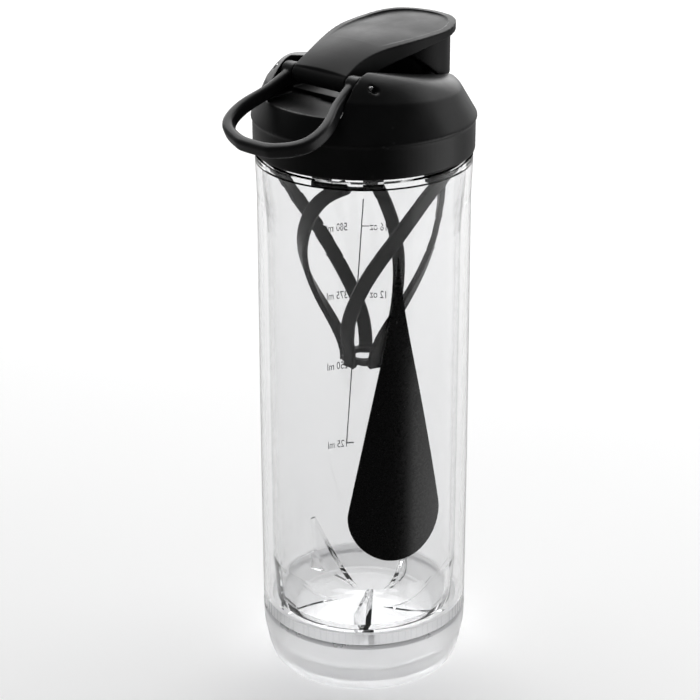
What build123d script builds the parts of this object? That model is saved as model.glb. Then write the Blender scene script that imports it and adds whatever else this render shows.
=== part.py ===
"""Clear double-wall protein shaker with a black flip-cap lid, carry loop and mixing cage.

Frame: origin on the bottle's axis at its base, +Z up, +X towards the tip of the flip cap,
hinge pin along Y.  All sizes are in millimetres.
"""
import os
from math import cos, radians, sin, tan

from build123d import *

os.makedirs("parts", exist_ok=True)

# ---- bottle ----
SHELL_R = 41.0              # outside radius of the clear outer shell
SHELL_TOP_R = 40.5          # slight draft towards the neck
SHELL_WALL = 1.9
SHELL_BOTTOM_Z = 22.0       # joint with the base cup
SHELL_DRAFT_Z = 197.0       # top of the drafted wall
SHELL_TOP_Z = 211.0
FLANGE_TOP_Z = 213.5
VESSEL_R = 36.9             # outside radius of the inner vessel
VESSEL_BORE_R = 34.7
FLOOR_Z = 21.0              # inside floor of the vessel
NECK_R = 38.4
NECK_BORE_R = 36.6
NECK_TOP_Z = 227.0
SHOULDER_Z = (184.0, 207.0)   # the wall swells gently from body to neck between these heights
BASE_SPIGOT_R = 37.4

# ---- agitator fins moulded in the vessel's floor ----
FIN_COUNT = 5
FIN_THICK = 1.9
FIN_TIP_Z = 45.0
FIN_FIRST_DEG = 10.0

# ---- thread (ridges of neck and lid pass each other by THREAD_PASS) ----
THREAD_PITCH = 4.2
THREAD_Z = 218.0
THREAD_HEIGHT = 5.2
THREAD_DEPTH = 1.0
THREAD_PASS = 0.15

# ---- lid ----
SKIRT_Z = 215.0
SKIRT_R = 41.7
RIM_R = 42.3                # overhanging edge over the skirt
RIM_Z = 228.0
ROOF_SECTIONS = [           # radius, height on the axis, slope along X; crease to crown
    (36.3, 240.0, -0.065),
    (33.7, 243.0, -0.09),
    (30.5, 245.3, -0.165),
    (27.0, 246.4, -0.23),
]
LID_BORE_R = 40.2
LID_WALL = 2.1
SEAL_LAND_Z = 228.8
CHANNEL_HALF = 18.4         # half width of the channel for cap and loop
CHANNEL_Z = 238.5
POCKET_Z = 236.8            # lower floor of the channel behind the hinge
POCKET_X = -19.0
BOSS_R = 36.0
BOSS_BORE_R = 34.2
BOSS_Z = 219.0
SPOUT_X = 22.0
SPOUT_R = 13.2
SPOUT_BORE_R = 11.0
SPOUT_TOP_Z = 252.0

# ---- hinge shared by the flip cap and the carry loop ----
HINGE_X = -22.2
HINGE_Z = 245.9
PIN_R = 1.25
PIN_RUNNING = 0.05
PIN_HALF = 23.3
BARREL_R = 3.6
BARREL_HALF = 12.6
EAR_IN = 12.95
EAR_OUT = 18.1

# ---- flip cap: stations along X ----
CAP_STATIONS = [            # x, edge z, crest z, height of the rim under the edge
    (-26.0, 246.8, 248.6, 4.6),
    (-17.0, 249.3, 253.8, 4.6),
    (-8.0, 252.7, 256.7, 4.6),
    (2.0, 255.7, 258.0, 4.4),
    (14.0, 256.9, 258.7, 3.2),
    (28.0, 257.6, 259.2, 2.3),
    (44.0, 258.0, 258.8, 1.8),
]
CAP_HALF = 24.0             # half width at which the edge heights hold
DISH_START_X = -6.0         # the thumb dish begins here and is full depth from DISH_FULL_X on
DISH_FULL_X = 18.0
DISH_DEPTH = 0.9
DISH_RIM = 3.0              # width of the raised rim round the dish
CAP_TIP_R = 20.0
CAP_PLATE = 2.2
CAP_RIM_WALL = 2.0
BEAK_R = 18.0
BEAK_WALL = 2.0
BEAK_Z = 239.4
BEAK_TOP_Z = 257.2
COLLAR_R = 8.0              # collar that carries the spout seal
COLLAR_Z = 253.5
COLLAR_HEIGHT = 3.8

# ---- carry loop, flat in a plane through the hinge axis ----
LOOP_TILT_DEG = 25.5
LOOP_THICK = 5.3
LOOP_ROUND = 1.4

# ---- mixing cage ----
RIB_COUNT = 5
RIB_WIDTH = 5.4
RIB_THICK = 2.2
CAGE_RING_R = 33.9
CAGE_RING_BORE_R = 31.6
CAGE_RING_TOP_Z = 224.0
TAB_R = 35.8
TAB_Z = 209.5
TAB_TOP_Z = 215.5
TAB_HALF_DEG = 21.5
TAB_FIRST_DEG = -5.0
HUB_TOP_Z = 131.0
HUB_THICK = 1.9
HUB_HOLE_R = 4.7
HUB_FOOT = 3.2              # the ribs reach this far under the hub's top
LUG_Z = 219.8
LUG_HEIGHT = 2.4
LUG_R = 35.0
UNLOCK_DEG = 24.0           # turn that frees the cage from the lid

# ---- printed marks ----
INK = 0.12
DROP_DEG = -121.0
DROP_Z = 60.0
DROP_HEIGHT = 127.0
DROP_R = 18.5
SCALE_MARKS_Z = [73.2, 108.9, 140.0, 168.5]
SCALE_DEG = 41.0
SCALE_SIDE = 4.0            # the line crosses SCALE_MID_Z this far from SCALE_DEG
SCALE_MID_Z = 126.5
SCALE_LENGTH = 108.0
SCALE_LEAN_DEG = 4.0


def save(piece, name):
    """Label a finished piece and write its STEP file."""
    piece.part.label = name
    export_step(piece.part, f"parts/{name}.step")


def tilted(z, slope):
    """Plane through (0, 0, z) whose height changes along X by the given slope."""
    return Plane(origin=(0, 0, z), x_dir=(1, 0, slope), z_dir=(-slope, 0, 1))


def radial_plane(degrees):
    """Upright plane through the axis, facing outwards at the given angle."""
    a = radians(degrees)
    return Plane(origin=(0, 0, 0), x_dir=(-sin(a), cos(a), 0), z_dir=(cos(a), sin(a), 0))


# ================= bottle =================
with BuildPart() as base_cup:
    with BuildSketch(Plane.XZ):
        with BuildLine():
            Polyline((0, 1.4), (30.5, 1.4), (32.0, 0), (35.6, 0))
            side = Spline((35.6, 0), (38.3, 3.0), (40.1, 11.0), (SHELL_R, SHELL_BOTTOM_Z),
                          tangents=((1, 0.25), (0, 1)))
            Polyline(side @ 1, (SHELL_R - SHELL_WALL, SHELL_BOTTOM_Z),
                     (SHELL_R - SHELL_WALL, SHELL_BOTTOM_Z + 5),
                     (BASE_SPIGOT_R, SHELL_BOTTOM_Z + 5), (BASE_SPIGOT_R, 11.0),
                     (33.0, 3.6), (0, 3.6), (0, 1.4))
        make_face()
    revolve()
save(base_cup, "base_cup")

with BuildPart() as outer_shell:
    with BuildSketch(Plane.XZ):
        with BuildLine():
            Polyline((SHELL_R, SHELL_BOTTOM_Z), (SHELL_R, 90), (SHELL_TOP_R, SHELL_DRAFT_Z),
                     (SHELL_R, SHELL_TOP_Z), (SHELL_R - SHELL_WALL, SHELL_TOP_Z),
                     (SHELL_TOP_R - SHELL_WALL, SHELL_DRAFT_Z),
                     (SHELL_R - SHELL_WALL, 90), (SHELL_R - SHELL_WALL, SHELL_BOTTOM_Z),
                     close=True)
        make_face()
    revolve()
save(outer_shell, "outer_shell")

# One fin: a swirled blade whose top rises towards the wall.
with BuildPart() as fin:
    with BuildSketch(Plane.XY.offset(FLOOR_Z - 0.5)):
        with BuildLine():
            blade = ThreePointArc((9.3, -3.7), (20.5, -4.6), (35.6, 0))
        trace(blade, line_width=FIN_THICK)
    extrude(amount=FIN_TIP_Z - FLOOR_Z + 3)
    with BuildSketch(Plane.XZ):
        with BuildLine():
            Polyline((4, FLOOR_Z - 1), (35.4, FLOOR_Z - 1), (35.4, FIN_TIP_Z - 2),
                     (34.2, FIN_TIP_Z))
            Spline((34.2, FIN_TIP_Z), (28, 34.5), (19, 24.5), (4, FLOOR_Z + 0.5))
            Line((4, FLOOR_Z + 0.5), (4, FLOOR_Z - 1))
        make_face()
    revolve(mode=Mode.INTERSECT)

with BuildPart() as inner_vessel:
    with BuildSketch(Plane.XZ):
        with BuildLine():
            low_z, top_z = SHOULDER_Z
            Polyline((VESSEL_BORE_R, low_z), (VESSEL_BORE_R, 45), (VESSEL_BORE_R - 1.6, 28.5),
                     (28.0, FLOOR_Z), (5.0, FLOOR_Z), (0, FLOOR_Z + 0.6), (0, FLOOR_Z - 2.4),
                     (28.5, FLOOR_Z - 2.4), (VESSEL_R - 1.4, 27), (VESSEL_R, 44), (VESSEL_R, low_z))
            Spline((VESSEL_R, low_z), (NECK_R, top_z), tangents=((0, 1), (0, 1)))
            Polyline((NECK_R, top_z), (NECK_R, SHELL_TOP_Z), (SHELL_R, SHELL_TOP_Z),
                     (SHELL_R, FLANGE_TOP_Z), (NECK_R, FLANGE_TOP_Z), (NECK_R, NECK_TOP_Z),
                     (NECK_BORE_R, NECK_TOP_Z), (NECK_BORE_R, top_z))
            Spline((NECK_BORE_R, top_z), (VESSEL_BORE_R, low_z), tangents=((0, -1), (0, -1)))
        make_face()
    revolve()
    with PolarLocations(0, FIN_COUNT, start_angle=FIN_FIRST_DEG):
        add(fin.part)
    with BuildSketch(Plane.XZ):
        with Locations((NECK_R, THREAD_Z)):
            Polygon((-0.3, -1.2), (THREAD_DEPTH, -0.45), (THREAD_DEPTH, 0.45), (-0.3, 1.2), align=None)
    sweep(path=Helix(THREAD_PITCH, THREAD_HEIGHT, NECK_R, center=(0, 0, THREAD_Z)), is_frenet=True)
save(inner_vessel, "inner_vessel")

# ---- printed marks lie on the outer shell ----
with BuildPart() as ink_skin:
    with BuildSketch(Plane.XZ):
        with BuildLine():
            Polyline((SHELL_R, 40), (SHELL_R, 90), (SHELL_TOP_R, SHELL_DRAFT_Z),
                     (SHELL_TOP_R + INK, SHELL_DRAFT_Z), (SHELL_R + INK, 90),
                     (SHELL_R + INK, 40), close=True)
        make_face()
    revolve()

with BuildPart() as drop_print:
    with BuildSketch(radial_plane(DROP_DEG)):
        with BuildLine():
            bowl = CenterArc((0, DROP_Z + DROP_R), DROP_R, -190, 200)
            Spline(bowl @ 1, (0.4 * DROP_R, DROP_Z + 0.62 * DROP_HEIGHT), (0, DROP_Z + DROP_HEIGHT),
                   tangents=(bowl % 1, (-0.06, 1)))
            Spline(bowl @ 0, (-0.4 * DROP_R, DROP_Z + 0.62 * DROP_HEIGHT), (0, DROP_Z + DROP_HEIGHT),
                   tangents=(-(bowl % 0), (0.06, 1)))
        make_face()
    extrude(amount=60)
    add(ink_skin.part, mode=Mode.INTERSECT)
save(drop_print, "drop_print")

with BuildPart() as volume_scale:
    with BuildSketch(radial_plane(SCALE_DEG)):
        with Locations(Location((SCALE_SIDE, SCALE_MID_Z, 0), (0, 0, SCALE_LEAN_DEG))):
            Rectangle(0.5, SCALE_LENGTH)
        for mark_z in SCALE_MARKS_Z:
            line_x = SCALE_SIDE - tan(radians(SCALE_LEAN_DEG)) * (mark_z - SCALE_MID_Z)
            with Locations((line_x - 1.6, mark_z)):
                Rectangle(3.2, 0.6)
    extrude(amount=60)
    add(ink_skin.part, mode=Mode.INTERSECT)
save(volume_scale, "volume_scale")

# ================= lid =================
def lid_roof(inset, base_r, base_z):
    """Conical flank up to the crease and the tilted, rounded roof above it."""
    with BuildPart() as roof:
        crease_r, crease_z, crease_slope = ROOF_SECTIONS[0]
        with BuildSketch(Plane.XY.offset(base_z)):
            Circle(base_r)
        with BuildSketch(tilted(crease_z - inset, crease_slope)):
            Circle(crease_r - inset)
        loft(ruled=True)
        for r, z, slope in ROOF_SECTIONS:
            with BuildSketch(tilted(z - inset, slope)):
                Circle(r - inset)
        loft()
    return roof.part


with BuildPart() as lid_cavity:
    add(lid_roof(LID_WALL, BOSS_BORE_R, SEAL_LAND_Z))
    with Locations((0, 0, POCKET_Z - LID_WALL)):
        Box(120, 2 * (CHANNEL_HALF + LID_WALL), 40, align=(Align.CENTER, Align.CENTER, Align.MIN),
            mode=Mode.SUBTRACT)

with BuildPart() as lid:
    add(lid_roof(0, RIM_R, RIM_Z))
    crown_edge = lid.edges().filter_by(GeomType.CIRCLE).sort_by(Axis.Z)[-1]
    fillet(crown_edge, radius=1.5)
    with BuildSketch(Plane.XZ):
        with BuildLine():
            Polyline((0, SKIRT_Z), (SKIRT_R - 0.4, SKIRT_Z), (SKIRT_R, SKIRT_Z + 0.6),
                     (SKIRT_R, RIM_Z - 1.2), (RIM_R, RIM_Z - 0.2), (RIM_R, RIM_Z), (0, RIM_Z),
                     close=True)
        make_face()
    revolve()
    # channel for the cap, open to the front and to the back
    with Locations((0, 0, CHANNEL_Z)):
        Box(120, 2 * CHANNEL_HALF, 40, align=(Align.CENTER, Align.CENTER, Align.MIN),
            mode=Mode.SUBTRACT)
    with Locations((POCKET_X, 0, POCKET_Z)):
        Box(40, 2 * CHANNEL_HALF, 40, align=(Align.MAX, Align.CENTER, Align.MIN), mode=Mode.SUBTRACT)
    # inside: bore for the neck, room under the roof
    with BuildSketch(Plane.XY.offset(SKIRT_Z)):
        Circle(LID_BORE_R)
    extrude(amount=SEAL_LAND_Z - SKIRT_Z, mode=Mode.SUBTRACT)
    add(lid_cavity.part, mode=Mode.SUBTRACT)
    # boss that holds the mixing cage, with a bayonet track
    with BuildSketch(Plane.XY.offset(BOSS_Z)):
        Circle(BOSS_R)
        Circle(BOSS_BORE_R, mode=Mode.SUBTRACT)
    extrude(amount=SEAL_LAND_Z - BOSS_Z + 0.5)
    with BuildSketch(Plane.XY.offset(LUG_Z - 0.3)):
        Circle(LUG_R + 0.25)
        Circle(BOSS_BORE_R - 1, mode=Mode.SUBTRACT)
    extrude(amount=LUG_HEIGHT + 0.6, mode=Mode.SUBTRACT)
    with BuildSketch(Plane.XY.offset(BOSS_Z)):
        with PolarLocations(LUG_R - 1.0, RIB_COUNT, start_angle=TAB_FIRST_DEG + UNLOCK_DEG):
            Rectangle(2.5, 8.6)
    extrude(amount=LUG_Z + LUG_HEIGHT - BOSS_Z, mode=Mode.SUBTRACT)
    # internal thread
    with BuildSketch(Plane.XZ):
        with Locations((LID_BORE_R, THREAD_Z + 1.6)):
            Polygon((0.3, -1.2), (-(LID_BORE_R - NECK_R - THREAD_DEPTH - THREAD_PASS), -0.4),
                    (-(LID_BORE_R - NECK_R - THREAD_DEPTH - THREAD_PASS), 0.4), (0.3, 1.2), align=None)
    sweep(path=Helix(THREAD_PITCH, THREAD_HEIGHT, LID_BORE_R, center=(0, 0, THREAD_Z + 1.6)),
          is_frenet=True)
    # drinking spout
    with BuildSketch(Plane.XY.offset(CHANNEL_Z - 1)):
        with Locations((SPOUT_X, 0)):
            Circle(SPOUT_R)
    extrude(amount=SPOUT_TOP_Z - CHANNEL_Z + 1, taper=1.0)
    spout_lip = lid.edges().filter_by(GeomType.CIRCLE).sort_by(Axis.Z)[-1]
    fillet(spout_lip, radius=0.9)
    with Locations((SPOUT_X, 0, POCKET_Z - LID_WALL - 1)):
        Cylinder(SPOUT_BORE_R, 30, align=(Align.CENTER, Align.CENTER, Align.MIN), mode=Mode.SUBTRACT)
    # holes for the hinge pin
    with Locations(Location((HINGE_X, 0, HINGE_Z), (90, 0, 0))):
        Cylinder(PIN_R, 80, mode=Mode.SUBTRACT)
save(lid, "lid")

with BuildPart() as lid_gasket:
    with BuildSketch(Plane.XZ):
        with Locations((38.1, (NECK_TOP_Z + SEAL_LAND_Z) / 2)):
            RectangleRounded(2.8, SEAL_LAND_Z - NECK_TOP_Z - 0.2, 0.5)
    revolve()
save(lid_gasket, "lid_gasket")

with BuildPart() as hinge_pin:
    with Locations(Location((HINGE_X, 0, HINGE_Z), (90, 0, 0))):
        Cylinder(PIN_R, 2 * PIN_HALF)
    chamfer(hinge_pin.edges().filter_by(GeomType.CIRCLE), length=0.3)
save(hinge_pin, "hinge_pin")


# ================= flip cap =================
def cap_outline(inset):
    """Plan outline of the spoon-shaped cap, drawn inwards by inset."""
    with BuildSketch() as outline:
        with BuildLine():
            tip = CenterArc((SPOUT_X, 0), CAP_TIP_R - inset, -90, 180)
            root = (HINGE_X - 2.0, BARREL_HALF - inset)
            Spline(tip @ 1, (-4, 15.7 - inset), (-17, 12.75 - inset), root,
                   tangents=((-1, 0), (-1, 0)))
            Line(root, (root[0], -root[1]))
            Spline((root[0], -root[1]), (-17, inset - 12.75), (-4, inset - 15.7), tip @ 0,
                   tangents=((1, 0), (1, 0)))
        make_face()
    return outline.sketch


def cap_body(inset, drop_at, extra_depth):
    """Crowned plate over the outline: top lowered by drop_at(x), underside extra_depth below the rim."""
    with BuildPart() as body:
        for x, edge_z, crest_z, rim in CAP_STATIONS:
            with BuildSketch(Plane(origin=(x, 0, 0), x_dir=(0, 1, 0), z_dir=(1, 0, 0))):
                with BuildLine():
                    low = edge_z - rim - extra_depth
                    top = edge_z - drop_at(x)
                    Polyline((-CAP_HALF, top), (-CAP_HALF, low), (CAP_HALF, low), (CAP_HALF, top))
                    ThreePointArc((CAP_HALF, top), (0, crest_z - drop_at(x)), (-CAP_HALF, top))
                make_face()
        loft()
        with BuildSketch(Plane.XY.offset(230)):
            add(cap_outline(inset))
        extrude(amount=40, mode=Mode.INTERSECT)
    return body.part


def dish_drop(x):
    """How far the thumb dish lies under the crown at x; below zero it clears the surface."""
    share = (x - DISH_START_X) / (DISH_FULL_X - DISH_START_X)
    return DISH_DEPTH * max(-0.6, min(1.0, share))


with BuildPart() as thumb_dish:
    with BuildSketch(Plane.XY.offset(250)):
        add(cap_outline(DISH_RIM))
    extrude(amount=15)
    add(cap_body(0, dish_drop, 10), mode=Mode.SUBTRACT)


with BuildPart() as beak:
    with BuildSketch(Plane.XY.offset(BEAK_Z)):
        with Locations((SPOUT_X, 0)):
            Circle(BEAK_R)
            Circle(BEAK_R - BEAK_WALL, mode=Mode.SUBTRACT)
    extrude(amount=BEAK_TOP_Z - BEAK_Z)
    # diagonal rear edge
    with BuildSketch(Plane.XZ):
        with BuildLine():
            Polyline((-5, BEAK_Z - 1), (25.0, BEAK_Z - 1), (8.3, 251.7), (3.0, 257), (-5, 257),
                     close=True)
        make_face()
    extrude(amount=30, both=True, mode=Mode.SUBTRACT)

with BuildPart() as flip_cap:
    add(cap_body(0, lambda x: 0, 0))
    add(cap_body(CAP_RIM_WALL, lambda x: CAP_PLATE, 5), mode=Mode.SUBTRACT)
    add(thumb_dish.part, mode=Mode.SUBTRACT)
    add(beak.part)
    with Locations((SPOUT_X, 0, COLLAR_Z)):
        Cylinder(COLLAR_R, COLLAR_HEIGHT, align=(Align.CENTER, Align.CENTER, Align.MIN))
    with Locations(Location((HINGE_X, 0, HINGE_Z), (90, 0, 0))):
        Cylinder(BARREL_R, 2 * BARREL_HALF)
        Cylinder(PIN_R + PIN_RUNNING, 2 * BARREL_HALF + 2, mode=Mode.SUBTRACT)
save(flip_cap, "flip_cap")

with BuildPart() as spout_seal:
    with BuildSketch(Plane(origin=(SPOUT_X, 0, 0), x_dir=(1, 0, 0), z_dir=(0, -1, 0))):
        with BuildLine():
            land_z = SPOUT_TOP_Z + 0.15
            plug_z = SPOUT_TOP_Z - 2.7
            Polyline((0, COLLAR_Z), (12.6, COLLAR_Z), (12.6, land_z), (SPOUT_BORE_R - 0.35, land_z),
                     (SPOUT_BORE_R - 0.5, plug_z + 0.5), (SPOUT_BORE_R - 1.2, plug_z),
                     (8.4, plug_z), (8.0, SPOUT_TOP_Z), (0, SPOUT_TOP_Z), close=True)
        make_face()
    revolve(axis=Axis((SPOUT_X, 0, 0), (0, 0, 1)))
save(spout_seal, "spout_seal")

# ================= carry loop =================
tilt = radians(LOOP_TILT_DEG)
loop_plane = Plane(origin=(HINGE_X, 0, HINGE_Z), x_dir=(-cos(tilt), 0, -sin(tilt)),
                   z_dir=(-sin(tilt), 0, cos(tilt)))
with BuildPart() as carry_loop:
    with BuildSketch(loop_plane):
        with BuildLine():
            outer = Spline((1.5, 17.2), (8, 17.6), (14, 19.0), (21, 21.8), (27, 22.7), (33, 21.5),
                           (38, 17.0), (41.4, 9.5), (42.4, 0), tangents=((1, 0), (0, -1)))
            mirror(outer, about=Plane.XZ)
            inner = Spline((1.5, 13.2), (8, 14.1), (14, 15.4), (21, 17.9), (26.5, 18.7), (31.5, 17.6),
                           (35.3, 13.6), (37.9, 7.2), (38.5, 0), tangents=((1, 0), (0, -1)))
            mirror(inner, about=Plane.XZ)
            Line(outer @ 0, inner @ 0)
            Line((1.5, -17.2), (1.5, -13.2))
        make_face()
    extrude(amount=LOOP_THICK / 2, both=True)
    top_and_underside = carry_loop.faces().filter_by(loop_plane)
    rim_edges = top_and_underside.edges().filter_by(GeomType.BSPLINE)
    fillet(rim_edges, radius=LOOP_ROUND)
    for side in (-1, 1):
        with Locations(Location((HINGE_X, side * (EAR_IN + EAR_OUT) / 2, HINGE_Z), (90, 0, 0))):
            Cylinder(BARREL_R, EAR_OUT - EAR_IN)
    with Locations(Location((HINGE_X, 0, HINGE_Z), (90, 0, 0))):
        Cylinder(PIN_R + PIN_RUNNING, 60, mode=Mode.SUBTRACT)
save(carry_loop, "carry_loop")

# ================= mixing cage =================
RIB_PATH = [                # z, radius, turn from the hub in degrees
    (HUB_TOP_Z - HUB_FOOT, 8.2, -7),
    (134.0, 8.9, -5),
    (145.0, 13.0, 6),
    (160.0, 19.5, 26),
    (175.0, 25.2, 43),
    (190.0, 29.8, 61),
    (201.0, 32.4, 75),
    (206.5, 33.4, 85),
    (210.5, 33.9, 97),
]


def on_rib(z, r, turn):
    """Point of the rib's centre line."""
    return Vector(r * cos(radians(turn)), r * sin(radians(turn)), z)


with BuildPart() as rib:
    centre = [on_rib(*station) for station in RIB_PATH]
    for i, (z, r, turn) in enumerate(RIB_PATH):
        ahead = centre[min(i + 1, len(centre) - 1)] - centre[max(i - 1, 0)]
        outward = Vector(cos(radians(turn)), sin(radians(turn)), 0)
        across = ahead.cross(outward).normalized()
        with BuildSketch(Plane(origin=centre[i], x_dir=across, z_dir=ahead)):
            Rectangle(RIB_WIDTH, RIB_THICK)
    loft()

def ring_sector(inner_r, outer_r, half_deg):
    """Flat arc-shaped sector centred on +X."""
    reach = 2 * outer_r
    with BuildSketch() as sector:
        Circle(outer_r)
        Circle(inner_r, mode=Mode.SUBTRACT)
        Polygon((0, 0), (reach, -reach * tan(radians(half_deg))),
                (reach, reach * tan(radians(half_deg))), align=None, mode=Mode.INTERSECT)
    return sector.sketch


with BuildPart() as cage_tab:
    with BuildSketch(Plane.XY.offset(TAB_Z)):
        add(ring_sector(CAGE_RING_R - 1, TAB_R, TAB_HALF_DEG))
    extrude(amount=TAB_TOP_Z - TAB_Z)
    with Locations((TAB_R, 0, TAB_Z + 0.9)):
        Box(20, 11.5, 3.6, align=(Align.CENTER, Align.CENTER, Align.MIN), mode=Mode.SUBTRACT)

with BuildPart() as cage_lug:
    with BuildSketch(Plane.XY.offset(LUG_Z)):
        add(ring_sector(CAGE_RING_R - 1, LUG_R, 6.0))
    extrude(amount=LUG_HEIGHT)

with BuildPart() as mixer_cage:
    with BuildSketch(Plane.XY.offset(HUB_TOP_Z - HUB_THICK)) as hub:
        RegularPolygon(9.6, 5, rotation=-174 + 36)
        fillet(hub.vertices(), 2.0)
        Circle(HUB_HOLE_R, mode=Mode.SUBTRACT)
    extrude(amount=HUB_THICK)
    with PolarLocations(0, RIB_COUNT, start_angle=-174):
        add(rib.part)
    # top ring
    with BuildSketch(Plane.XY.offset(TAB_TOP_Z - 0.5)):
        Circle(CAGE_RING_R)
        Circle(CAGE_RING_BORE_R, mode=Mode.SUBTRACT)
    extrude(amount=CAGE_RING_TOP_Z - TAB_TOP_Z + 0.5)
    # windowed tabs below the ring, lugs above them
    with PolarLocations(0, RIB_COUNT, start_angle=TAB_FIRST_DEG):
        add(cage_tab.part)
        add(cage_lug.part)
save(mixer_cage, "mixer_cage")
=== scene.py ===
import math

import bmesh
import bpy
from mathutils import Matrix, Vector


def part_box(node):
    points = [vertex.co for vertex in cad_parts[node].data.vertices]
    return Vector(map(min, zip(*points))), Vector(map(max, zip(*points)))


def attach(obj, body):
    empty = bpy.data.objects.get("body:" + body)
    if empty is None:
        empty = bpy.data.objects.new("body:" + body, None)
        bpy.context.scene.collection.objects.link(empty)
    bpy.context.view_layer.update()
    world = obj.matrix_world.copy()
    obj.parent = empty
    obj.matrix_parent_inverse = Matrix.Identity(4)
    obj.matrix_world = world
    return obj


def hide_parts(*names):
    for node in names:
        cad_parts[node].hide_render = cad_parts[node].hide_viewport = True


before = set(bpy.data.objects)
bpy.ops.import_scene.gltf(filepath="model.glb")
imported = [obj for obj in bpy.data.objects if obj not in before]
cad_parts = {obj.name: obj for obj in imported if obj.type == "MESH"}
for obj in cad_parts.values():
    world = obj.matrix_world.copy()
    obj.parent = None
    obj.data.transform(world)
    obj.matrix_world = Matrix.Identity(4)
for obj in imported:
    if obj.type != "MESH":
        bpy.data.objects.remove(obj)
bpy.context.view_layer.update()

MM = 0.001

# ---------------------------------------------------------------- sizes taken from the frame
SHELL_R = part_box("outer_shell")[1].x


# ---------------------------------------------------------------- node helpers
def new_material(name):
    """An empty node material with its output node, as (material, nodes, links, output)."""
    material = bpy.data.materials.new(name)
    material.use_nodes = True
    nodes = material.node_tree.nodes
    nodes.clear()
    output = nodes.new("ShaderNodeOutputMaterial")
    return material, nodes, material.node_tree.links, output


def noise(nodes, links, scale, detail=3.0, rough=0.55):
    """Noise in the row frame's own metres, so its grain keeps its size on every piece."""
    where = nodes.new("ShaderNodeTexCoord")
    texture = nodes.new("ShaderNodeTexNoise")
    texture.inputs["Scale"].default_value = scale
    texture.inputs["Detail"].default_value = detail
    texture.inputs["Roughness"].default_value = rough
    links.new(where.outputs["Object"], texture.inputs["Vector"])
    return texture


def spread(nodes, links, source, low, high, start=0.35, stop=0.65):
    """Maps a 0 to 1 value onto low to high, between start and stop."""
    ranged = nodes.new("ShaderNodeMapRange")
    ranged.inputs["From Min"].default_value = start
    ranged.inputs["From Max"].default_value = stop
    ranged.inputs["To Min"].default_value = low
    ranged.inputs["To Max"].default_value = high
    links.new(source, ranged.inputs["Value"])
    return ranged.outputs["Result"]


def two_tone(nodes, links, source, dark, light, start=0.3, stop=0.7):
    """A colour that drifts from dark to light with a 0 to 1 value."""
    ramp = nodes.new("ShaderNodeValToRGB")
    ramp.color_ramp.elements[0].position = start
    ramp.color_ramp.elements[0].color = (*dark, 1)
    ramp.color_ramp.elements[1].position = stop
    ramp.color_ramp.elements[1].color = (*light, 1)
    links.new(source, ramp.inputs["Fac"])
    return ramp.outputs["Color"]


def bump(nodes, links, height, distance, strength=1.0):
    """A bump of the given depth in metres."""
    node = nodes.new("ShaderNodeBump")
    node.inputs["Distance"].default_value = distance
    node.inputs["Strength"].default_value = strength
    links.new(height, node.inputs["Height"])
    return node.outputs["Normal"]


# ---------------------------------------------------------------- materials
EDGE_HIGHLIGHT_PALER = 4  # how much paler the painted edge highlight is than the plastic's light tone


def satin_plastic(name, dark, light, gloss, grain_depth, specular=0.4):
    """Moulded black polypropylene: fine spark-eroded grain, drifting gloss, convex edges painted paler as a
    highlight.
    """
    material, nodes, links, output = new_material(name)
    shader = nodes.new("ShaderNodeBsdfPrincipled")
    shader.inputs["Specular IOR Level"].default_value = specular
    cloudy = noise(nodes, links, 60, 4.0)
    grain = noise(nodes, links, 2600, 2.0)
    colour = two_tone(nodes, links, cloudy.outputs["Fac"], dark, light)
    # Painted highlight: convex edges, found by pointiness, get a paler colour that stands in for light caught
    # on the rounded edges.
    edge_highlight_mix = nodes.new("ShaderNodeMix")
    edge_highlight_mix.data_type = "RGBA"
    edge = nodes.new("ShaderNodeNewGeometry")
    edge_highlight_mask = spread(nodes, links, edge.outputs["Pointiness"], 0.0, 0.5, 0.53, 0.62)
    links.new(edge_highlight_mask, edge_highlight_mix.inputs["Factor"])
    links.new(colour, edge_highlight_mix.inputs["A"])
    edge_highlight_mix.inputs["B"].default_value = (*(EDGE_HIGHLIGHT_PALER * c for c in light), 1)
    links.new(edge_highlight_mix.outputs["Result"], shader.inputs["Base Color"])
    sheen = spread(nodes, links, cloudy.outputs["Fac"], gloss - 0.05, gloss + 0.05)
    links.new(sheen, shader.inputs["Roughness"])
    links.new(bump(nodes, links, grain.outputs["Fac"], grain_depth), shader.inputs["Normal"])
    links.new(shader.outputs["BSDF"], output.inputs["Surface"])
    return material


def clear_plastic(name, tint, ior, ripple):
    """Clear copolyester: it bends light as a real wall does, and lamps shine through it."""
    material, nodes, links, output = new_material(name)
    glass = nodes.new("ShaderNodeBsdfPrincipled")
    glass.inputs["Base Color"].default_value = (*tint, 1)
    glass.inputs["Transmission Weight"].default_value = 1.0
    glass.inputs["IOR"].default_value = ior
    flow = noise(nodes, links, 28, 2.0)
    scuff = noise(nodes, links, 420, 5.0)
    scuffed = spread(nodes, links, scuff.outputs["Fac"], 0.0, 0.045, 0.5, 0.75)
    links.new(scuffed, glass.inputs["Roughness"])
    links.new(bump(nodes, links, flow.outputs["Fac"], ripple), glass.inputs["Normal"])
    through = nodes.new("ShaderNodeBsdfTransparent")
    through.inputs["Color"].default_value = (*tint, 1)
    ray = nodes.new("ShaderNodeLightPath")
    lamp = nodes.new("ShaderNodeMath")
    lamp.operation = "MAXIMUM"
    links.new(ray.outputs["Is Shadow Ray"], lamp.inputs[0])
    links.new(ray.outputs["Is Diffuse Ray"], lamp.inputs[1])
    mix = nodes.new("ShaderNodeMixShader")
    links.new(lamp.outputs["Value"], mix.inputs["Fac"])
    links.new(glass.outputs["BSDF"], mix.inputs[1])
    links.new(through.outputs["BSDF"], mix.inputs[2])
    links.new(mix.outputs["Shader"], output.inputs["Surface"])
    return material


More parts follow.
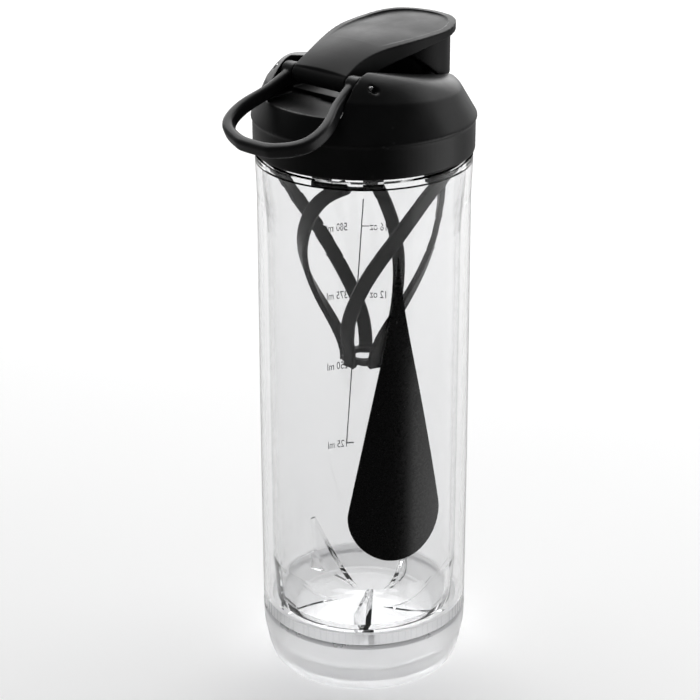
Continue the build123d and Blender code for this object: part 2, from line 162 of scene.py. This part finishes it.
def frosted_plastic(name, tint, blur, grain_depth):
    """The base cup's plastic: clear, but its bead-blasted skin scatters what shows through."""
    material, nodes, links, output = new_material(name)
    glass = nodes.new("ShaderNodeBsdfPrincipled")
    glass.inputs["Base Color"].default_value = (*tint, 1)
    glass.inputs["Transmission Weight"].default_value = 0.8
    glass.inputs["IOR"].default_value = 1.45
    cloudy = noise(nodes, links, 70, 4.0)
    grain = noise(nodes, links, 1900, 2.0)
    blasted = spread(nodes, links, cloudy.outputs["Fac"], blur - 0.06, blur + 0.06)
    links.new(blasted, glass.inputs["Roughness"])
    links.new(bump(nodes, links, grain.outputs["Fac"], grain_depth), glass.inputs["Normal"])
    through = nodes.new("ShaderNodeBsdfTransparent")
    through.inputs["Color"].default_value = (*tint, 1)
    ray = nodes.new("ShaderNodeLightPath")
    mix = nodes.new("ShaderNodeMixShader")
    links.new(ray.outputs["Is Shadow Ray"], mix.inputs["Fac"])
    links.new(glass.outputs["BSDF"], mix.inputs[1])
    links.new(through.outputs["BSDF"], mix.inputs[2])
    links.new(mix.outputs["Shader"], output.inputs["Surface"])
    return material


def screen_ink(name, colour):
    """Screen-printed ink: opaque, nearly smooth, with the faint mottle of the mesh."""
    material, nodes, links, output = new_material(name)
    shader = nodes.new("ShaderNodeBsdfPrincipled")
    mottle = noise(nodes, links, 900, 3.0)
    links.new(
        two_tone(nodes, links, mottle.outputs["Fac"], colour, tuple(1.6 * c for c in colour)),
        shader.inputs["Base Color"],
    )
    links.new(spread(nodes, links, mottle.outputs["Fac"], 0.22, 0.34), shader.inputs["Roughness"])
    links.new(bump(nodes, links, mottle.outputs["Fac"], 0.004 * MM), shader.inputs["Normal"])
    links.new(shader.outputs["BSDF"], output.inputs["Surface"])
    return material


def brushed_steel(name):
    """The hinge pin: drawn stainless wire, with fine lines round its end."""
    material, nodes, links, output = new_material(name)
    shader = nodes.new("ShaderNodeBsdfPrincipled")
    shader.inputs["Metallic"].default_value = 1.0
    drawn = noise(nodes, links, 1500, 4.0)
    links.new(
        two_tone(nodes, links, drawn.outputs["Fac"], (0.42, 0.42, 0.43), (0.62, 0.62, 0.62)),
        shader.inputs["Base Color"],
    )
    links.new(spread(nodes, links, drawn.outputs["Fac"], 0.16, 0.3), shader.inputs["Roughness"])
    links.new(bump(nodes, links, drawn.outputs["Fac"], 0.006 * MM), shader.inputs["Normal"])
    links.new(shader.outputs["BSDF"], output.inputs["Surface"])
    return material


def silicone(name, dark, light):
    """Soft seal rubber: matt, with a slight sheen."""
    material, nodes, links, output = new_material(name)
    shader = nodes.new("ShaderNodeBsdfPrincipled")
    shader.inputs["Sheen Weight"].default_value = 0.25
    cloudy = noise(nodes, links, 240, 4.0)
    links.new(two_tone(nodes, links, cloudy.outputs["Fac"], dark, light), shader.inputs["Base Color"])
    links.new(spread(nodes, links, cloudy.outputs["Fac"], 0.5, 0.68), shader.inputs["Roughness"])
    links.new(bump(nodes, links, cloudy.outputs["Fac"], 0.02 * MM), shader.inputs["Normal"])
    links.new(shader.outputs["BSDF"], output.inputs["Surface"])
    return material


LID_BLACK = satin_plastic("lid_black", (0.004, 0.004, 0.0042), (0.007, 0.007, 0.0075), 0.42, 0.012 * MM, 0.40)
# Painted sheen: the cap is the same black plastic as the lid, given a lighter tone as a lit copy that stands
# in for the light its top catches.
CAP_BLACK_PAINTED_SHEEN = satin_plastic("cap_black_painted_sheen", (0.010, 0.010, 0.0104), (0.015, 0.015, 0.0155), 0.46, 0.014 * MM, 0.16)
LOOP_BLACK = satin_plastic("loop_black", (0.006, 0.006, 0.0065), (0.011, 0.011, 0.012), 0.40, 0.010 * MM)
CAGE_BLACK = satin_plastic("cage_black", (0.003, 0.003, 0.003), (0.006, 0.006, 0.006), 0.36, 0.006 * MM, 0.08)
CLEAR_SHELL = clear_plastic("clear_shell", (0.95, 0.951, 0.953), 1.3, 0.02 * MM)
CLEAR_VESSEL = clear_plastic("clear_vessel", (0.935, 0.936, 0.938), 1.3, 0.03 * MM)
FROSTED = frosted_plastic("frosted_base", (0.92, 0.92, 0.922), 0.36, 0.02 * MM)
WELD = frosted_plastic("weld_seam", (0.68, 0.68, 0.685), 0.30, 0.03 * MM)
INK = screen_ink("ink", (0.003, 0.003, 0.003))
STEEL = brushed_steel("pin_steel")
RUBBER = silicone("silicone", (0.012, 0.012, 0.013), (0.022, 0.022, 0.023))


# ---------------------------------------------------------------- mesh helpers
def finished(piece, material):
    """Gives a piece its one material and smooth faces."""
    piece.data.materials.clear()
    piece.data.materials.append(material)
    for face in piece.data.polygons:
        face.use_smooth = True
    return piece


def soften(node, name, material, voxel, passes):
    """Stands for a CAD node with the same shape, its edges rounded as a mould leaves them."""
    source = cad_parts[node]
    piece = bpy.data.objects.new(name, source.data.copy())
    bpy.context.scene.collection.objects.link(piece)
    remesh = piece.modifiers.new("remesh", "REMESH")
    remesh.mode = "VOXEL"
    remesh.voxel_size = voxel
    smooth = piece.modifiers.new("smooth", "SMOOTH")
    smooth.factor = 0.5
    smooth.iterations = passes
    graph = bpy.context.evaluated_depsgraph_get()
    mesh = bpy.data.meshes.new_from_object(piece.evaluated_get(graph))
    piece.modifiers.clear()
    piece.data = mesh
    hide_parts(node)
    return finished(piece, material)


def dress(node, material):
    """Gives a CAD node that is shown as it is its finish."""
    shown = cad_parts[node]
    shown.data.materials.clear()
    shown.data.materials.append(material)
    return shown


# ---------------------------------------------------------------- pieces that stay as the CAD has them
dress("outer_shell", CLEAR_SHELL)
dress("inner_vessel", CLEAR_VESSEL)
dress("base_cup", FROSTED)
dress("drop_print", INK)
dress("volume_scale", INK)
dress("hinge_pin", STEEL)
dress("lid_gasket", RUBBER)
dress("spout_seal", RUBBER)

# ---------------------------------------------------------------- moulded pieces with rounded edges
lid = soften("lid", "lid_moulding", LID_BLACK, 0.45 * MM, 4)
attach(lid, "lid")

cap = soften("flip_cap", "flip_cap_moulding", CAP_BLACK_PAINTED_SHEEN, 0.32 * MM, 4)
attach(cap, "cap")

loop = soften("carry_loop", "carry_loop_moulding", LOOP_BLACK, 0.35 * MM, 5)
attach(loop, "loop")

cage = soften("mixer_cage", "mixer_cage_moulding", CAGE_BLACK, 0.4 * MM, 4)
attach(cage, "mixer")

# ---------------------------------------------------------------- weld seam between base and shell
SEAM_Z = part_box("outer_shell")[0].z
RING_STEPS = 256


def ring_of(name, profile, material):
    """A closed ring round the axis, swept from a profile of (radius, height) corners."""
    ring = []
    for i in range(RING_STEPS):
        angle = 2 * math.pi * i / RING_STEPS
        ring += [(r * math.cos(angle), r * math.sin(angle), z) for r, z in profile]
    count = len(profile)
    faces = []
    for i in range(RING_STEPS):
        for j in range(count):
            here, there = i * count, ((i + 1) % RING_STEPS) * count
            after = (j + 1) % count
            faces.append((here + j, there + j, there + after, here + after))
    mesh = bpy.data.meshes.new(name)
    mesh.from_pydata(ring, [], faces)
    piece = bpy.data.objects.new(name, mesh)
    bpy.context.scene.collection.objects.link(piece)
    return finished(piece, material)


# the band's corners in millimetres: out from the shell's surface, up from the joint
SEAM_BAND = [(-0.04, -1.1), (0.03, -0.9), (0.06, -0.3), (0.0, 0.0), (0.06, 0.3), (0.03, 0.8),
             (-0.04, 1.0), (-0.3, 1.0), (-0.3, -1.1)]
seam = ring_of(
    "weld_seam",
    [(SHELL_R + r * MM, SEAM_Z + z * MM) for r, z in SEAM_BAND],
    WELD,
)
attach(seam, "bottle")

# ---------------------------------------------------------------- numbers of the volume scale
FIGURES = [(125, 4), (250, 8), (375, 12), (500, 16)]
FIGURE_Z = [0.0732, 0.1089, 0.1400, 0.1685]  # middles of the figures, level with the printed marks
SCALE_AT = math.radians(41.0)  # angle of the printed line round the bottle
FIGURE_HEIGHT = 3.3 * MM
FIGURE_NARROW = 0.74
OUNCE_GAP = 2.5 * MM
MILLILITRE_GAP = 7.0 * MM
INK_FILM = 0.1 * MM


def figure(name, text, foot_z, near_edge, reads_left):
    """A number printed round the back of the shell, standing at foot_z, its near end at near_edge."""
    curve = bpy.data.curves.new(name, "FONT")
    curve.body = text
    curve.size = FIGURE_HEIGHT / 0.7
    curve.align_x = "RIGHT" if reads_left else "LEFT"
    curve.resolution_u = 4
    flat = bpy.data.objects.new(name, curve)
    bpy.context.scene.collection.objects.link(flat)
    graph = bpy.context.evaluated_depsgraph_get()
    mesh = bpy.data.meshes.new_from_object(flat.evaluated_get(graph))
    bpy.data.objects.remove(flat)
    shape = bmesh.new()
    shape.from_mesh(mesh)
    bmesh.ops.remove_doubles(shape, verts=shape.verts, dist=0.001 * MM)
    printed = bmesh.ops.extrude_face_region(shape, geom=shape.faces[:])
    for corner in printed["geom"]:
        if isinstance(corner, bmesh.types.BMVert):
            corner.co.z = INK_FILM
    bmesh.ops.recalc_face_normals(shape, faces=shape.faces)
    for corner in shape.verts:
        along = corner.co.x * FIGURE_NARROW + near_edge
        angle = SCALE_AT + along / SHELL_R
        radius = SHELL_R + corner.co.z
        corner.co = (radius * math.cos(angle), radius * math.sin(angle), foot_z + corner.co.y)
    shape.to_mesh(mesh)
    shape.free()
    piece = bpy.data.objects.new(name, mesh)
    mesh.materials.clear()
    mesh.materials.append(INK)
    bpy.context.scene.collection.objects.link(piece)
    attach(piece, "bottle")


for (millilitres, ounces), mark_z in zip(FIGURES, FIGURE_Z):
    foot_z = mark_z - FIGURE_HEIGHT / 2
    figure(f"scale_{ounces}_oz", f"{ounces} oz", foot_z, -OUNCE_GAP, True)
    figure(f"scale_{millilitres}_ml", f"{millilitres} ml", foot_z, MILLILITRE_GAP, False)

# ---------------------------------------------------------------- floor
FLOOR_HALF = 9.0


def pale_floor():
    """A plain pale floor. Reflections don't see it, so that the black plastic stays black."""
    material, nodes, links, output = new_material("pale_floor")
    shader = nodes.new("ShaderNodeBsdfPrincipled")
    shader.inputs["Specular IOR Level"].default_value = 0.2
    drift = noise(nodes, links, 3, 2.0)
    links.new(
        two_tone(nodes, links, drift.outputs["Fac"], (0.96, 0.96, 0.96), (0.98, 0.98, 0.98)),
        shader.inputs["Base Color"],
    )
    shader.inputs["Roughness"].default_value = 0.7
    links.new(shader.outputs["BSDF"], output.inputs["Surface"])
    mesh = bpy.data.meshes.new("studio_floor")
    corners = [(x * FLOOR_HALF, y * FLOOR_HALF, 0) for x, y in ((-1, -1), (1, -1), (1, 1), (-1, 1))]
    mesh.from_pydata(corners, [], [(0, 1, 2, 3)])
    mesh.materials.append(material)
    floor = bpy.data.objects.new("studio_floor", mesh)
    bpy.context.scene.collection.objects.link(floor)
    floor.visible_glossy = False


pale_floor()

# ---------------------------------------------------------------- camera
VIEW_AZIMUTH = math.radians(-49.0)  # of the image's right-hand direction
CAMERA_BACK = 0.750
CAMERA_UP = 0.4526
CAMERA_PITCH = math.radians(23.16)
LENS_MM = 107.4
FRAME_SHIFT = -0.02

RIGHT = Vector((math.cos(VIEW_AZIMUTH), math.sin(VIEW_AZIMUTH), 0))
AWAY = Vector((-RIGHT.y, RIGHT.x, 0))


def place_camera():
    """The camera, level with its own right-hand direction and turned down by its pitch."""
    data = bpy.data.cameras.new("studio_camera")
    data.lens = LENS_MM
    data.sensor_width = 36.0
    data.shift_x = FRAME_SHIFT
    data.clip_start = 0.01
    camera = bpy.data.objects.new("studio_camera", data)
    camera.location = -CAMERA_BACK * AWAY + Vector((0, 0, CAMERA_UP))
    looking = AWAY * math.cos(CAMERA_PITCH) - Vector((0, 0, math.sin(CAMERA_PITCH)))
    camera.rotation_euler = looking.to_track_quat("-Z", "Y").to_euler()
    bpy.context.scene.collection.objects.link(camera)
    bpy.context.scene.camera = camera


place_camera()


# ---------------------------------------------------------------- lights
def softbox(name, place, aim, width, height, radiance):
    """A softbox of even radiance at place (right, away, up), turned towards aim."""
    data = bpy.data.lights.new(name, "AREA")
    data.shape = "RECTANGLE"
    data.size = width
    data.size_y = height
    data.energy = radiance * math.pi * width * height
    light = bpy.data.objects.new(name, data)
    light.location = place[0] * RIGHT + place[1] * AWAY + Vector((0, 0, place[2]))
    target = aim[0] * RIGHT + aim[1] * AWAY + Vector((0, 0, aim[2]))
    light.rotation_euler = (target - light.location).to_track_quat("-Z", "Y").to_euler()
    light.visible_camera = False
    bpy.context.scene.collection.objects.link(light)


softbox("back_panel", (0.0, 2.0, 1.1), (0, 0, 0.2), 3.4, 1.7, 2.6)
softbox("top_panel", (0.0, 0.7, 1.7), (0, 0.25, 0), 1.6, 1.6, 1.9)
softbox("right_panel", (0.85, 0.25, 0.75), (0, 0, 0.2), 0.5, 0.5, 2.2)


CARD_SIDE = math.radians(82.0)  # of the low reflector card, to the right of the camera
CARD_DOWN = math.radians(-23.0)
CARD_SPREAD = (0.88, 0.905)  # cosines of its soft edge
CARD_GLOW = 1.2
ROOM_FRONT = 0.04  # brightness of the room in front of the bottle
ROOM_BACK = 0.45  # and behind it


def studio_world():
    """A dim room, darker in front of the bottle than behind it, with one low glowing card at the side."""
    world = bpy.data.worlds.new("studio")
    world.use_nodes = True
    nodes = world.node_tree.nodes
    links = world.node_tree.links
    where = nodes.new("ShaderNodeTexCoord")

    def facing(direction):
        towards = nodes.new("ShaderNodeVectorMath")
        towards.operation = "DOT_PRODUCT"
        towards.inputs[1].default_value = direction
        links.new(where.outputs["Generated"], towards.inputs[0])
        return towards.outputs["Value"]

    level = math.cos(CARD_DOWN)
    sideways = math.sin(CARD_SIDE) * RIGHT - math.cos(CARD_SIDE) * AWAY
    card = level * sideways + Vector((0, 0, math.sin(CARD_DOWN)))
    total = nodes.new("ShaderNodeMath")
    links.new(spread(nodes, links, facing(AWAY), ROOM_FRONT, ROOM_BACK, -0.2, 0.8), total.inputs[0])
    links.new(spread(nodes, links, facing(card), 0.0, CARD_GLOW, *CARD_SPREAD), total.inputs[1])
    links.new(total.outputs["Value"], nodes["Background"].inputs["Strength"])
    nodes["Background"].inputs["Color"].default_value = (1, 1, 1, 1)
    bpy.context.scene.world = world


studio_world()

scene = bpy.context.scene
scene.view_settings.view_transform = "Standard"
scene.cycles.max_bounces = 24
scene.cycles.transmission_bounces = 24
scene.cycles.transparent_max_bounces = 24
